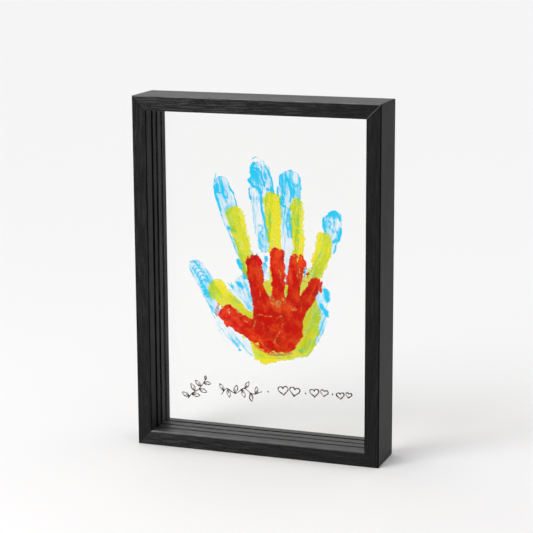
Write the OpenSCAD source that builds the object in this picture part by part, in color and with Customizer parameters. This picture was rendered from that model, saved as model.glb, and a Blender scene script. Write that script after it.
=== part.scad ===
// Deep box frame with three clear sheets, one behind another, each with a painted handprint.
// Origin: middle of the base, on the surface it stands on. The front faces -Y and +Z is up.
// The top rail lifts off its magnets, and then each sheet slides up out of its grooves.

/* [Sheets] */
// Width of a clear sheet
sheet_w = 208; // [180:1:250]
// Height of a clear sheet
sheet_h = 297; // [260:1:350]
// Thickness of a clear sheet
sheet_t = 2; // [1.5:0.1:3]
// Radius of a sheet's corners
sheet_corner_r = 1.5; // [0.5:0.5:4]

/* [Grooves] */
// Depth that a groove is cut into the wood
groove_depth = 6; // [4:0.5:7]
// Play on each face of a sheet in its groove
groove_play = 0.2; // [0.1:0.05:0.4]
// Play at each upright edge of a sheet
edge_play = 0.5; // [0.2:0.1:1]
// Play under a sheet's bottom edge
seat_play = 0.1; // [0.1:0.05:0.3]
// Play over a sheet's top edge
top_play = 0.9; // [0.5:0.1:1.5]
// Chamfer at the mouth of a groove
mouth_chamfer = 0.4; // [0.2:0.1:0.8]

/* [Mouldings] */
// Wood between a groove's floor and the outer face
wall_t = 7; // [6.5:0.5:12]
// Rib in front of the front groove
front_rib = 11.8; // [7:0.2:16]
// Rib between two grooves
mid_rib = 7.8; // [5:0.2:10]
// Rib behind the back groove
back_rib = 8.4; // [5:0.2:12]
// Radius of a moulding's long edges
ease_r = 1; // [0.5:0.1:1.5]
// Radius of the frame's four corners, seen from the front
corner_r = 1.2; // [0.4:0.1:1.5]
// Gap between the top rail's mitres and the stiles'
mitre_play = 0.1; // [0.05:0.05:0.3]

/* [Magnets] */
// Diameter of a disc magnet
magnet_d = 6; // [4:0.5:6]
// Thickness of a disc magnet
magnet_t = 2; // [1:0.5:2.5]
// Glue gap round and under a magnet
magnet_play = 0.1; // [0.05:0.05:0.2]
// Wood between a magnet's pocket and the grooves
magnet_web = 0.2; // [0.2:0.1:0.5]
// Distance between the two magnets of a mitre
magnet_pitch = 20; // [12:1:26]

/* [Corner nails] */
// Length of each leg of a V-shaped nail
nail_leg = 4; // [3:0.5:4.5]
// Thickness of the nail's steel
nail_t = 0.5; // [0.4:0.1:0.8]
// Angle between each leg and the mitre
nail_angle = 55; // [45:5:65]
// Wood between a nail and the back groove
nail_cover = 1; // [0.5:0.1:2]
// Glue gap round a nail
nail_play = 0.05; // [0.02:0.01:0.1]

/* [Handprints] */
// Thickness of the dried paint
film_t = 0.2; // [0.1:0.05:0.3]
// Length of the large hand, heel to middle fingertip
large_hand = 172; // [150:1:190]
// Length of the medium hand
medium_hand = 153; // [120:1:165]
// Length of the small hand
small_hand = 92; // [70:1:120]
// Height of the large hand's heel over the sheet's bottom edge
large_heel = 75; // [60:1:80]
// Height of the medium hand's heel
medium_heel = 71; // [60:1:80]
// Height of the small hand's heel
small_heel = 85; // [60:1:100]
// Distance of the hands' middle from the sheet's middle, towards the right
hand_offset = 11; // [0:1:16]
// Radius of the webs between the fingers
web_r = 1.6; // [0.8:0.2:2.4]

/* [Hidden] */

// One overrun for all cuts
overrun = 1;

groove_w = sheet_t + 2 * groove_play;
groove_pitch = groove_w + mid_rib;
face_w = wall_t + groove_depth;
frame_w = sheet_w + 2 * (edge_play + wall_t);
frame_h = sheet_h + seat_play + top_play + 2 * wall_t;
frame_d = front_rib + 3 * groove_w + 2 * mid_rib + back_rib;
frame_front = -frame_d / 2;
frame_back = frame_d / 2;

// Distance of a magnet's middle from each outer face, measured at the mitre
magnet_inset = wall_t - magnet_web - (magnet_d / 2 + magnet_play) * sin(45);

// Places of the nails along the mitre, as shares of the moulding's face
nail_place_shares = [0.42, 0.74];
nail_h = back_rib - nail_cover;

round_fn = 48;
film_fn = 20;

// Depth of a groove's middle: 0 is the front groove, 2 the back one
function groove_y(i) = frame_front + front_rib + groove_w / 2 + i * groove_pitch;

// Hands, in shares of the hand's length: x from its middle, height over its heel, radius.
// The first five rows are the thumb and fingers from the tip down, and the last is the palm.
// The large hand's middle finger stops short of its palm, as a lightly pressed print does.
large_hand_shares = [
    [[-0.45, 0.44, 0.037], [-0.41, 0.38, 0.045], [-0.35, 0.27, 0.044], [-0.26, 0.17, 0.059]],
    [[-0.31, 0.88, 0.037], [-0.28, 0.76, 0.044], [-0.22, 0.61, 0.038], [-0.15, 0.44, 0.045]],
    [[-0.1, 0.95, 0.051], [-0.09, 0.85, 0.057], [-0.09, 0.69, 0.044], [-0.08, 0.57, 0.03]],
    [[0.06, 0.91, 0.056], [0.06, 0.79, 0.053], [0.06, 0.63, 0.043], [0.06, 0.45, 0.04]],
    [[0.29, 0.73, 0.041], [0.28, 0.65, 0.04], [0.24, 0.53, 0.035], [0.19, 0.42, 0.039]],
    [[-0.17, 0.34, 0.08], [0.15, 0.37, 0.108], [0.15, 0.24, 0.108], [0.09, 0.09, 0.094],
        [-0.11, 0.08, 0.095], [-0.23, 0.19, 0.08]]
];
medium_hand_shares = [
    [[-0.35, 0.41, 0.059], [-0.29, 0.35, 0.049], [-0.2, 0.3, 0.045], [-0.13, 0.24, 0.049]],
    [[-0.24, 0.85, 0.055], [-0.21, 0.75, 0.047], [-0.19, 0.65, 0.041], [-0.13, 0.49, 0.045]],
    [[-0.02, 0.95, 0.048], [-0.01, 0.82, 0.046], [0, 0.71, 0.037], [0.01, 0.5, 0.037]],
    [[0.13, 0.93, 0.038], [0.13, 0.83, 0.037], [0.14, 0.72, 0.031], [0.13, 0.48, 0.036]],
    [[0.29, 0.74, 0.046], [0.28, 0.65, 0.048], [0.24, 0.55, 0.04], [0.18, 0.45, 0.044]],
    [[-0.09, 0.42, 0.065], [0.15, 0.38, 0.089], [0.18, 0.29, 0.093], [0.14, 0.15, 0.097],
        [-0.06, 0.08, 0.082], [-0.13, 0.18, 0.074]]
];
small_hand_shares = [
    [[-0.45, 0.34, 0.078], [-0.36, 0.28, 0.082], [-0.27, 0.22, 0.084], [-0.14, 0.17, 0.095]],
    [[-0.17, 0.84, 0.07], [-0.16, 0.72, 0.073], [-0.15, 0.62, 0.064], [-0.1, 0.47, 0.08]],
    [[0.06, 0.93, 0.064], [0.06, 0.8, 0.064], [0.07, 0.66, 0.059], [0.08, 0.5, 0.066]],
    [[0.25, 0.88, 0.063], [0.23, 0.75, 0.066], [0.21, 0.61, 0.064], [0.18, 0.48, 0.066]],
    [[0.43, 0.68, 0.055], [0.38, 0.57, 0.057], [0.3, 0.46, 0.06], [0.22, 0.35, 0.08]],
    [[-0.07, 0.42, 0.108], [0.21, 0.44, 0.093], [0.21, 0.21, 0.095], [0.14, 0.11, 0.101],
        [-0.02, 0.1, 0.108], [-0.06, 0.2, 0.101]]
];

// Extrudes a shape drawn as seen from the front (X across, Y up) between two depths
module from_front(y0, y1) {
    translate([0, y1, 0])
    rotate([90, 0, 0])
    linear_extrude(y1 - y0)
    children();
}

// Rectangle with rounded corners, from the origin
module rounded_area(w, h, r) {
    translate([r, 0]) square([w - 2 * r, h]);
    translate([0, r]) square([w, h - 2 * r]);
    for (x = [r, w - r], y = [r, h - r])
        translate([x, y]) circle(r, $fn = round_fn);
}

// One groove's section: a slot whose mouth is chamfered, open towards +X
module groove_section() {
    translate([wall_t, -groove_w / 2]) square([groove_depth + overrun, groove_w]);
    polygon([
        [face_w - mouth_chamfer, groove_w / 2],
        [face_w + overrun, groove_w / 2 + mouth_chamfer + overrun],
        [face_w + overrun, -groove_w / 2 - mouth_chamfer - overrun],
        [face_w - mouth_chamfer, -groove_w / 2]
    ]);
}

// Section of a moulding: X from its outer face inwards, Y from front to back
module moulding_section() {
    difference() {
        translate([0, frame_front]) rounded_area(face_w, frame_d, ease_r);
        for (i = [0:2])
            translate([0, groove_y(i)]) groove_section();
    }
}

// Front view of a moulding that lies on its outer face, with both ends mitred.
// The play is taken off each mitre, square to it.
module mitred_area(len, play) {
    half_low = len / 2 + overrun - play / sin(45);
    half_high = len / 2 - face_w - overrun - play / sin(45);
    polygon([
        [-half_low, -overrun],
        [half_low, -overrun],
        [half_high, face_w + overrun],
        [-half_high, face_w + overrun]
    ]);
}

// A mitred moulding on its outer face, centred on X
module moulding(len, play = 0) {
    intersection() {
        translate([len / 2, 0, 0])
        rotate([0, -90, 0])
        linear_extrude(len)
        moulding_section();
        from_front(frame_front - overrun, frame_back + overrun)
        mitred_area(len, play);
    }
}

// Rounds the frame's four corners, seen from the front
module within_frame() {
    intersection() {
        children();
        from_front(frame_front - overrun, frame_back + overrun)
        translate([-frame_w / 2, 0])
        rounded_area(frame_w, frame_h, corner_r);
    }
}

// Puts children at the left top mitre's outer corner, with Z square to the mitre and into the stile
module at_left_mitre() {
    translate([-frame_w / 2, 0, frame_h])
    translate([magnet_inset, 0, -magnet_inset])
    rotate([0, -135, 0])
    children();
}

// The two discs of one mitre, or with a play the pockets for them.
// Those of the rail start past the mitre's gap, on its other side.
module disc_pair(side, play = 0) {
    base = side == "rail" ? mitre_play : 0;
    mouth = play > 0 ? overrun : 0;
    at_left_mitre()
    mirror([0, 0, side == "rail" ? 1 : 0])
    for (y = [-magnet_pitch / 2, magnet_pitch / 2])
        translate([0, y, base - mouth])
        cylinder(h = magnet_t + play + mouth, d = magnet_d + 2 * play, $fn = round_fn);
}

// A V-shaped nail seen from the back, its point towards the window
module nail_area(play = 0) {
    for (side = [-1, 1])
        rotate(225 + side * nail_angle)
        translate([-nail_t / 2 - play, -nail_t / 2 - play])
        square([nail_leg + nail_t / 2 + 2 * play, nail_t + 2 * play]);
}

// The nails of the left bottom mitre, or with a play the slots for them
module nail_pair(play = 0) {
    mouth = play > 0 ? overrun : 0;
    for (share = nail_place_shares)
        translate([-frame_w / 2 + share * face_w, 0, share * face_w])
        from_front(frame_back - nail_h - play, frame_back + mouth)
        nail_area(play);
}

// A clear sheet in groove i
module clear_sheet(i) {
    from_front(groove_y(i) - sheet_t / 2, groove_y(i) + sheet_t / 2)
    translate([-sheet_w / 2, wall_t + seat_play])
    rounded_area(sheet_w, sheet_h, sheet_corner_r);
}

// Outline of a hand of unit length, with its heel on the X axis
module unit_hand_area(rows) {
    palm = rows[len(rows) - 1];
    for (i = [0:len(rows) - 2], j = [0:len(rows[i]) - 2])
        hull()
        for (p = [rows[i][j], rows[i][j + 1]])
            translate([p[0], p[1]]) circle(p[2], $fn = film_fn);
    hull()
    for (p = palm)
        translate([p[0], p[1]]) circle(p[2], $fn = film_fn);
}

// A film of paint on the front face of the sheet in groove i
module handprint(i, rows, length, heel) {
    sheet_front = groove_y(i) - sheet_t / 2;
    from_front(sheet_front - film_t, sheet_front)
    translate([hand_offset, wall_t + seat_play + heel])
    offset(r = -web_r, $fn = film_fn)
    offset(r = web_r, $fn = film_fn)
    scale(length)
    unit_hand_area(rows);
}

module bottom_rail() {
    color([0.14, 0.14, 0.14])
    difference() {
        within_frame() moulding(frame_w);
        nail_pair(nail_play);
        mirror([1, 0, 0]) nail_pair(nail_play);
    }
}

module left_stile() {
    color([0.14, 0.14, 0.14])
    difference() {
        within_frame()
        translate([-frame_w / 2, 0, frame_h / 2])
        rotate([0, 90, 0])
        moulding(frame_h);
        disc_pair("stile", magnet_play);
        nail_pair(nail_play);
    }
}

module right_stile() {
    mirror([1, 0, 0]) left_stile();
}

module top_rail() {
    color([0.14, 0.14, 0.14])
    difference() {
        within_frame()
        translate([0, 0, frame_h])
        mirror([0, 0, 1])
        moulding(frame_w, mitre_play);
        disc_pair("rail", magnet_play);
        mirror([1, 0, 0]) disc_pair("rail", magnet_play);
    }
}

module front_panel() {
    color([0.85, 0.9, 0.92, 0.25]) clear_sheet(0);
}

module middle_panel() {
    color([0.85, 0.9, 0.92, 0.25]) clear_sheet(1);
}

module back_panel() {
    color([0.85, 0.9, 0.92, 0.25]) clear_sheet(2);
}

module small_handprint() {
    color([0.85, 0.12, 0.08]) handprint(0, small_hand_shares, small_hand, small_heel);
}

module medium_handprint() {
    color([0.85, 0.88, 0.15]) handprint(1, medium_hand_shares, medium_hand, medium_heel);
}

module large_handprint() {
    color([0.3, 0.75, 0.95]) handprint(2, large_hand_shares, large_hand, large_heel);
}

module left_rail_magnets() {
    color([0.75, 0.75, 0.77]) disc_pair("rail");
}

module right_rail_magnets() {
    mirror([1, 0, 0]) left_rail_magnets();
}

module left_stile_magnets() {
    color([0.75, 0.75, 0.77]) disc_pair("stile");
}

module right_stile_magnets() {
    mirror([1, 0, 0]) left_stile_magnets();
}

module left_corner_nails() {
    color([0.5, 0.5, 0.52]) nail_pair();
}

module right_corner_nails() {
    mirror([1, 0, 0]) left_corner_nails();
}

bottom_rail();
left_stile();
right_stile();
top_rail();
front_panel();
middle_panel();
back_panel();
small_handprint();
medium_handprint();
large_handprint();
left_rail_magnets();
right_rail_magnets();
left_stile_magnets();
right_stile_magnets();
left_corner_nails();
right_corner_nails();
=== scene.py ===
"""Looks of a deep box frame with three clear sheets and a painted handprint on each.

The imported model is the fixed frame. Its rails, stiles, sheets, magnets and nails keep their shapes
and get materials. The three flat handprints are replaced by films of paint with ragged edges,
relief and streaks, and a line of small pen drawings of leaves and hearts runs under the hands.
"""

import math

import bpy
import numpy as np
from mathutils import Matrix, Vector


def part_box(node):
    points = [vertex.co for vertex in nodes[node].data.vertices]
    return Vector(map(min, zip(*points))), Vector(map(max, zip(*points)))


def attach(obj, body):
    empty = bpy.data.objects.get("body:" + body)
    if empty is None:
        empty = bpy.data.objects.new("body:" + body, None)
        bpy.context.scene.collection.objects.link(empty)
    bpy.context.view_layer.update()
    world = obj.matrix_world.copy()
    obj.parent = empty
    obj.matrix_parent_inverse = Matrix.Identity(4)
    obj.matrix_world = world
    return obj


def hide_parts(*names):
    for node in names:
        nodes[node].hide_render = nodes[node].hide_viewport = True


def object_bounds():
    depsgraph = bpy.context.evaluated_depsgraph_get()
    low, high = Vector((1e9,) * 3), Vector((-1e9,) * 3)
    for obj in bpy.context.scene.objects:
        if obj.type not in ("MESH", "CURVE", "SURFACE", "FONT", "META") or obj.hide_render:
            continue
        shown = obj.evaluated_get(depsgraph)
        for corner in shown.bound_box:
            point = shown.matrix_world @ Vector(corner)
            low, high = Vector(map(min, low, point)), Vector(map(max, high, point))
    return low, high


MM = 0.001

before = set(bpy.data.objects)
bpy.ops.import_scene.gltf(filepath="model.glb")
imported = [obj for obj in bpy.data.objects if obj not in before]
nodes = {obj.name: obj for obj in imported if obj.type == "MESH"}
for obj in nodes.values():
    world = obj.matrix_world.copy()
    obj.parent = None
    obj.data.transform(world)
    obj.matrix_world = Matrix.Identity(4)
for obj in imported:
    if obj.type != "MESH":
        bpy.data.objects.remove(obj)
cad_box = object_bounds()
PANELS = ("front_panel", "middle_panel", "back_panel")

# Camera, at the photograph's viewing angle
CAMERA_YAW = math.radians(19.68)
CAMERA_PITCH = math.radians(11.95)
CAMERA_ROLL = math.radians(-0.286)
CAMERA_LENS = 120.26
CAMERA_SENSOR = 36.0
CAMERA_DISTANCE = 1.5245
CAMERA_CLIP = (0.05, 60.0)
# Where the middle of the picture falls: right and up in the picture from the front's middle
AIM_RIGHT = 0.01021
AIM_UP = 0.01276

# Light
# The studio is brightest towards this direction and dimmest opposite to it
STUDIO_BRIGHT_SIDE = Vector((-0.62, 0.32, 0.72)).normalized()
STUDIO_LIGHT = 0.553
STUDIO_CONTRAST = 0.5
# The far walls are pale up to this height over the horizon, as a share of the distance
WALL_LIGHT = 0.88
WALL_HEIGHT_SHARE = 0.06
SUN_STRENGTH = 0.9
SUN_ANGLE = math.radians(34)
SUN_ELEVATION = math.radians(47)
# The sun stands this far to the left of straight in front
SUN_AZIMUTH = math.radians(30)
# A softbox at the front left
SOFTBOX_PLACE = Vector((-0.55, -0.8, 0.55))
SOFTBOX_AIM = Vector((-0.1, 0, 0.157))
SOFTBOX_SIZE = 0.35
SOFTBOX_POWER = 1.6
FLOOR_COLOUR = (0.92, 0.91, 0.91, 1)
FLOOR_HALF = 15.0
FLOOR_DROP = 0.05 * MM

WHITE = (1, 1, 1, 1)

# Sizes of the wood's marks, along and across its grain
PORE_LINES = (22 * MM, 0.6 * MM)
PORE_SPECKS = (1.4 * MM, 0.55 * MM)
STAIN_STREAKS = (60 * MM, 1.9 * MM)
STAIN_BANDS = (160 * MM, 9 * MM)
FIBRES = (12 * MM, 0.3 * MM)
PORE_DEPTH = 0.12 * MM
# Marks along an edge are full up to the first distance from it, and end at the second
ARRIS_REACH = (0.5 * MM, 1.1 * MM)
SIDE_ARRIS_REACH = (0.6 * MM, 1.1 * MM)
SILL_TOP_REACH = (0.6 * MM, 1.3 * MM)
SILL_LIP_REACH = (1.4 * MM, 2.2 * MM)
MITRE_REACH = (0.2 * MM, 0.6 * MM)
OUTER_FACE_REACH = (0.1 * MM, 0.3 * MM)
# Across a groove, measured from the middle of the sheet in it
GROOVE_REACH = (1.9 * MM, 2.4 * MM)
SILL_GROOVE_REACH = (1.3 * MM, 1.8 * MM)
# The grooves' painted shade and painted highlight keep this far inside the frame's outer faces
GROOVE_WALL = 5 * MM
# How much the painted highlight in the mitre and the painted shade show
MITRE_SHOWS = 0.55
PAINTED_SHADE_SHOWS = 0.85
# Shares of the dust colour painted as a highlight in two of the lower side's grooves and as bounce
# light at the foot of the outer sides, and how far up the sides that light reaches, as a share of
# the height
GROOVE_HIGHLIGHT = 0.1
SIDE_BOUNCE_LIGHT = 0.085
SIDE_BOUNCE_HEIGHT = 0.75

# Share of plain acrylic's gloss that these sheets show
SHEET_GLOSS = 0.3
SHEET_TINT = (0.994, 0.997, 0.996, 1)
ACRYLIC_IOR = 1.49
SMUDGE_SIZE = 34 * MM
FROST_SIZE = 0.9 * MM

# Grains and relief of the paint, and spots and relief of the metal
PAINT_GRAIN = 0.7 * MM
PAINT_RELIEF = 0.06 * MM
METAL_SPOT = 1.5 * MM
METAL_RELIEF = 0.02 * MM
# Share of the light that passes between the specks of a full coat of paint
LIGHT_PAST_FULL_COAT = 0.008

# Pen drawing, in mm: half widths of a leaf's, a heart's and a dot's line, and half a dot's length
PEN_HALF_WIDTH = 0.46
HEART_HALF_WIDTH = 0.58
DOT_HALF_WIDTH = 0.8
DOT_HALF_LENGTH = 0.6
# Half width of a leaf and length of its midrib, as shares of its length
LEAF_FAT = 0.2
MIDRIB = 0.5
LEAF_STEPS = 8
HEART_STEPS = 24
# A line of ink whose ends are nearer than this, in mm, is closed
CLOSED_GAP = 0.01
# The section of a line of ink, as shares of its half width and heights in mm
INK_SECTION = [(-1, 0), (-0.5, 0.1), (0.5, 0.1), (1, 0)]
INK_BLOT = 3 * MM

# How far right of the frame's middle the handprints are, as in the CAD part, how wide, in mm, the
# webs between fingers are blended, and the gap between a sheet and its film
HAND_OFFSET = 11 * MM
WEB_BLEND = 2.2
FILM_BACK_GAP = 0.02 * MM
# Thickness of the thinnest film, and what a full coat adds, in mm
THIN_FILM = 0.03
COAT_THICKNESS = 0.12
# Room on the grid for paint beside a hand, in mm
HAND_MARGIN = 9.0
# Farther than any point of the grid from any other, in mm
FAR = 1e3
# How far, in mm, a full stroke of a cut moves the outline in
CUT_DEPTH = 12.0
FINGERS = ["thumb", "index", "middle", "ring", "little"]
# A stroke of one point is a dab: it gets a second point this far aside, in mm
STEP_ASIDE = 0.01
# A smooth line has this many steps from one of its points to the next
PATH_STEPS = 4
# How much wider a stroke's paint spreads than the width it is given, and how deep inside a film's
# outline, in mm, a strength of 1 over the least that shows counts as
STROKE_SPREAD = 1.15
STROKE_LEVEL = 5.0
# How far into the noise the streaks start, and how far each finger's are taken from the last one's
ALONG_START = 60
NEXT_ALONG = 40
NEXT_ACROSS = 30
# Sizes, in mm, of the bends in strokes, of the breaks in them and of the bends in streaks
WANDER_SIZE = 5
BREAK_SIZE = 2.2
SWAY_SIZE = 9
# Points along each side of the noise's lattice, and how far a layer is moved from the last one
LATTICE = 256
LAYER_SHIFT = (17.3, 9.1)

# Each hand in mm, and its fingers and palm as places and half widths in hundredths of its length
LARGE_HAND = {
    "length": 172, "heel": 75,
    "rows": [
        [(-45, 44, 3.7), (-41, 38, 4.5), (-35, 27, 4.4), (-26, 17, 5.9)],
        [(-31, 88, 3.7), (-28, 76, 4.4), (-22, 61, 3.8), (-15, 44, 4.5)],
        [(-10, 95, 5.1), (-9, 85, 5.7), (-9, 69, 4.4), (-8, 57, 3)],
        [(6, 91, 5.6), (6, 79, 5.3), (6, 63, 4.3), (6, 45, 4)],
        [(29, 73, 4.1), (28, 65, 4), (24, 53, 3.5), (19, 42, 3.9)],
    ],
    "palm": [
        (-17, 34, 8), (15, 37, 10.8), (15, 24, 10.8), (9, 9, 9.4), (-11, 8, 9.5), (-23, 19, 8),
    ],
}
MEDIUM_HAND = {
    "length": 153, "heel": 71,
    "rows": [
        [(-35, 41, 5.9), (-29, 35, 4.9), (-20, 30, 4.5), (-13, 24, 4.9)],
        [(-24, 85, 5.5), (-21, 75, 4.7), (-19, 65, 4.1), (-13, 49, 4.5)],
        [(-2, 95, 4.8), (-1, 82, 4.6), (0, 71, 3.7), (1, 50, 3.7)],
        [(13, 93, 3.8), (13, 83, 3.7), (14, 72, 3.1), (13, 48, 3.6)],
        [(29, 74, 4.6), (28, 65, 4.8), (24, 55, 4), (18, 45, 4.4)],
    ],
    "palm": [
        (-9, 42, 6.5), (15, 38, 8.9), (18, 29, 9.3), (14, 15, 9.7), (-6, 8, 8.2), (-13, 18, 7.4),
    ],
}
SMALL_HAND = {
    "length": 92, "heel": 85,
    "rows": [
        [(-45, 34, 7.8), (-36, 28, 8.2), (-27, 22, 8.4), (-14, 17, 9.5)],
        [(-17, 84, 7), (-16, 72, 7.3), (-15, 62, 6.4), (-10, 47, 8)],
        [(6, 93, 6.4), (6, 80, 6.4), (7, 66, 5.9), (8, 50, 6.6)],
        [(25, 88, 6.3), (23, 75, 6.6), (21, 61, 6.4), (18, 48, 6.6)],
        [(43, 68, 5.5), (38, 57, 5.7), (30, 46, 6), (22, 35, 8)],
    ],
    "palm": [
        (-7, 42, 10.8), (21, 44, 9.3), (21, 21, 9.5), (14, 11, 10.1), (-2, 10, 10.8),
        (-6, 20, 10.1),
    ],
}


class NodeTree:
    """Short calls that build a node tree."""

    def __init__(self, tree):
        self.tree = tree
        tree.nodes.clear()

    def add(self, kind, inputs=None, **settings):
        """Adds a node. inputs gives sockets by name or place, each a value or another socket."""
        node = self.tree.nodes.new(kind)
        for name, value in settings.items():
            setattr(node, name, value)
        for key, value in (inputs or {}).items():
            if isinstance(value, bpy.types.NodeSocket):
                self.tree.links.new(value, node.inputs[key])
            else:
                node.inputs[key].default_value = value
        return node

    def math(self, operation, a, b=0.0, clamp=False):
        node = self.add("ShaderNodeMath", {0: a, 1: b}, operation=operation, use_clamp=clamp)
        return node.outputs[0]

    def plus(self, a, b, clamp=False):
        return self.math("ADD", a, b, clamp)

    def minus(self, a, b):
        return self.math("SUBTRACT", a, b)

    def times(self, a, *others):
        for b in others:
            a = self.math("MULTIPLY", a, b)
        return a

    def greater(self, a, b):
        return self.math("MAXIMUM", a, b)

    def less(self, a, b):
        return self.math("MINIMUM", a, b)

    def size(self, a):
        return self.math("ABSOLUTE", a)

    def spread(self, value, low, high, to_low=0.0, to_high=1.0):
        """Maps value from low..high onto to_low..to_high, and holds it within."""
        return self.add("ShaderNodeMapRange", {
            "Value": value, "From Min": low, "From Max": high, "To Min": to_low, "To Max": to_high,
        }).outputs[0]

    def near(self, value, edge, reach):
        """1 up to the first distance of reach from the edge, falling to 0 at the second."""
        return self.spread(self.size(self.minus(value, edge)), *reach, 1, 0)

    def mix_colour(self, share, a, b):
        return self.add("ShaderNodeMix", {0: share, 6: a, 7: b}, data_type="RGBA").outputs[2]

    def mix_shader(self, share, a, b):
        return self.add("ShaderNodeMixShader", {0: share, 1: a, 2: b}).outputs[0]

    def place(self):
        """Places in metres, as the CAD part has them."""
        return self.add("ShaderNodeTexCoord").outputs["Object"]

    def geometry(self, output):
        return self.add("ShaderNodeNewGeometry").outputs[output]

    def separate(self, vector):
        return self.add("ShaderNodeSeparateXYZ", {0: vector}).outputs

    def noise(self, size, detail, roughness=0.5, offset=(0, 0, 0)):
        """Noise whose features have the given size in metres, one or one each for X, Y and Z."""
        sizes = size if isinstance(size, tuple) else (size, size, size)
        inputs = {"Vector": self.place(), "Scale": tuple(1 / s for s in sizes), "Location": offset}
        mapped = self.add("ShaderNodeMapping", inputs).outputs[0]
        inputs = {"Vector": mapped, "Scale": 1.0, "Detail": detail, "Roughness": roughness}
        return self.add("ShaderNodeTexNoise", inputs).outputs["Fac"]

    def attribute(self, name):
        node = self.add("ShaderNodeAttribute", attribute_name=name, attribute_type="GEOMETRY")
        return node.outputs["Fac"]

    def bump(self, height, strength, distance):
        inputs = {"Height": height, "Strength": strength, "Distance": distance}
        return self.add("ShaderNodeBump", inputs).outputs[0]

    def shader(self, kind, inputs):
        return self.add("ShaderNodeBsdf" + kind, inputs).outputs[0]

    def surface(self, shader):
        self.add("ShaderNodeOutputMaterial", {"Surface": shader})


def new_material(name):
    material = bpy.data.materials.new(name)
    material.use_nodes = True
    return material, NodeTree(material.node_tree)


def add_object(name, data):
    thing = bpy.data.objects.new(name, data)
    bpy.context.scene.collection.objects.link(thing)
    return thing


def add_mesh(name, corners, faces, material):
    mesh = bpy.data.meshes.new(name)
    mesh.from_pydata(corners, [], faces)
    mesh.update()
    mesh.materials.append(material)
    return add_object(name, mesh)


def rgb(r, g, b):
    """A colour written in display values from 0 to 255, as a scene colour."""
    def linear(c):
        c = c / 255
        return c / 12.92 if c <= 0.04045 else ((c + 0.055) / 1.055) ** 2.4
    return (linear(r), linear(g), linear(b), 1.0)


# Colours on the black wood
# Pores are painted lighter, as the highlights they catch
PORE_HIGHLIGHT = rgb(104, 104, 103)
# Painted highlight along the arrises
PAINTED_EDGE_HIGHLIGHT = rgb(128, 128, 127)
# Painted highlight along the top right mitre
MITRE_LIGHT = rgb(120, 120, 120)
# Painted shade in the arrises and over the grooves
PAINTED_SHADE = rgb(3, 3, 3)
# Pale dust, also painted as a highlight in grooves and as bounce light low on the sides
DUST_AND_PAINTED_LIGHT = rgb(150, 149, 147)


def painted_edge_highlights(n, at, near_front, is_sill):
    """Painted highlights along the top front arris and the lower side's front lip, more at the left.
    """
    low, high = cad_box
    edge_highlight = n.times(near_front, n.near(at["Z"], high.z, ARRIS_REACH))
    if is_sill:
        sill_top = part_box("bottom_rail")[1].z
        # The lip's painted highlight falls off towards the right, as the light from the left does
        more_at_left = n.spread(at["X"], low.x, high.x, 1, 0.3)
        lip = n.times(more_at_left, n.near(at["Z"], sill_top, SILL_TOP_REACH))
        edge_highlight = n.greater(edge_highlight, n.times(n.near(at["Y"], low.y, SILL_LIP_REACH), lip))
    return edge_highlight


def mitre_highlight_mask(n, at, near_front):
    """Where a painted highlight, a hair of light, shows along the top right mitre."""
    high = cad_box[1]
    beside = n.near(n.minus(at["X"], at["Z"]), high.x - high.z, MITRE_REACH)
    return n.times(beside, near_front, n.spread(at["X"], 0, 1 * MM))


def arris_shade(n, at, near_front, is_stile):
    """Painted shade: dark lines along the side arrises and along the stiles' inner front edge."""
    low, high = cad_box
    out = n.size(at["X"])
    near_face = n.near(n.size(at["Y"]), -low.y, ARRIS_REACH)
    arris = n.times(n.near(out, high.x, SIDE_ARRIS_REACH), near_face)
    if is_stile:
        inner_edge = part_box("right_stile")[0].x
        arris = n.greater(arris, n.times(n.near(out, inner_edge, ARRIS_REACH), near_front))
    return arris


def groove_bands(n, at, is_sill):
    """Painted shade over the grooves, and a painted highlight in two of the lower side's."""
    high = cad_box[1]
    in_from_side = n.minus(high.x, n.size(at["X"]))
    in_from_ends = n.less(at["Z"], n.minus(high.z, at["Z"]))
    inner = n.math("GREATER_THAN", n.less(in_from_side, in_from_ends), GROOVE_WALL)
    shade_mask = 0.0
    sill_groove_highlight = 0.0
    for panel in PANELS:
        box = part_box(panel)
        reach = SILL_GROOVE_REACH if is_sill else GROOVE_REACH
        band = n.near(at["Y"], (box[0].y + box[1].y) / 2, reach)
        # The lower side's two front grooves get a painted highlight instead of painted shade
        if is_sill and panel != "back_panel":
            sill_groove_highlight = n.plus(sill_groove_highlight, band)
        else:
            shade_mask = n.plus(shade_mask, band)
    return n.times(shade_mask, inner), n.times(sill_groove_highlight, inner)


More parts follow.
